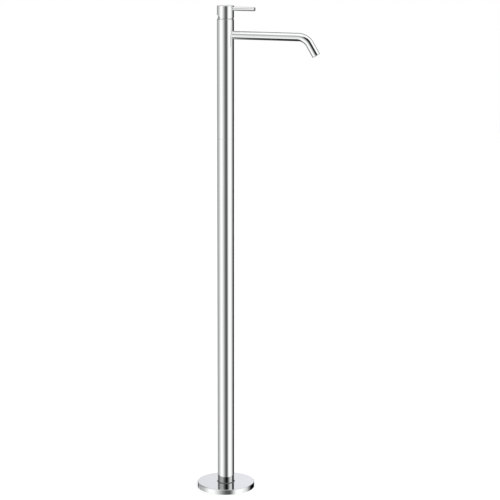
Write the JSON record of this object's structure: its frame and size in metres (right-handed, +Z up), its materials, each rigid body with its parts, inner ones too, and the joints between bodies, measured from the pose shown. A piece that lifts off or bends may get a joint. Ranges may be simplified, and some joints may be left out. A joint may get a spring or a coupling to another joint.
{
  "type": "basin mixer tap",
  "caption": "Floor-standing basin mixer tap: round cover plate, slim straight column, bent horizontal spout, and a cap with a side lever that turns to mix and tilts to open.",
  "frame": {"origin": "centre of the foot on the floor, in the column's axis", "axes": "+Z up along the column, +X along the spout and the lever, hot water at -Y"},
  "size_m": [0.2852, 0.132, 1.1188],
  "materials": {
    "chrome": "polished",
    "steel": "satin",
    "brass": "satin",
    "copper": "satin",
    "rubber": "matte",
    "housing_plastic": "satin",
    "white_plastic": "satin",
    "ceramic": "satin"
  },
  "bodies": {
    "tap": {"cover_plate": "chrome", "column_tube": "chrome", "body_shell": "chrome", "dome_ring": "chrome", "spout_tube": "chrome", "aerator_housing": "chrome", "floor_flange": "steel", "coupling_screws": "steel", "inlet_block": "brass", "column_coupling": "brass", "lower_pipe_nuts": "brass", "upper_pipe_nuts": "brass", "valve_core": "brass", "holding_nut": "brass", "spout_nipple": "brass", "hot_supply_pipe": "copper", "cold_supply_pipe": "copper", "cover_strip": "rubber", "cover_seal": "rubber", "coupling_seals": "rubber", "port_seals": "rubber", "spout_seal": "rubber", "aerator_seal": "rubber", "cartridge_base": "housing_plastic", "cartridge_housing": "housing_plastic", "aerator_grid": "housing_plastic", "lower_pipe_spacer": "white_plastic", "upper_pipe_spacer": "white_plastic", "aerator_insert": "white_plastic", "fixed_disc": "ceramic"},
    "mixing_rotor": {"cartridge_rotor": "white_plastic", "tilt_pin": "steel"},
    "handle": {"lever_stem": "brass", "handle_cap": "chrome", "lever_rod": "chrome", "cap_screw": "steel", "cap_plug": "chrome"},
    "ceramic_slider": {"disc_carrier": "white_plastic", "moving_disc": "ceramic"}
  },
  "joints": [
    {"name": "temperature_turn", "type": "hinge", "parent": "tap", "child": "mixing_rotor", "pos_m": [0, 0, 1.09], "axis": [0, 0, 1], "range_deg": [-45, 45]},
    {"name": "flow_tilt", "type": "hinge", "parent": "mixing_rotor", "child": "handle", "pos_m": [0, 0, 1.09], "axis": [0, -1, 0], "range_deg": [0, 25]},
    {"name": "slider_travel", "type": "slide", "parent": "mixing_rotor", "child": "ceramic_slider", "axis": [1, 0, 0], "range_m": [0, 0.00325]}
  ],
  "couplings": [
    {"joint": "slider_travel", "follows": "flow_tilt", "m_per_rad": 0.0074}
  ]
}
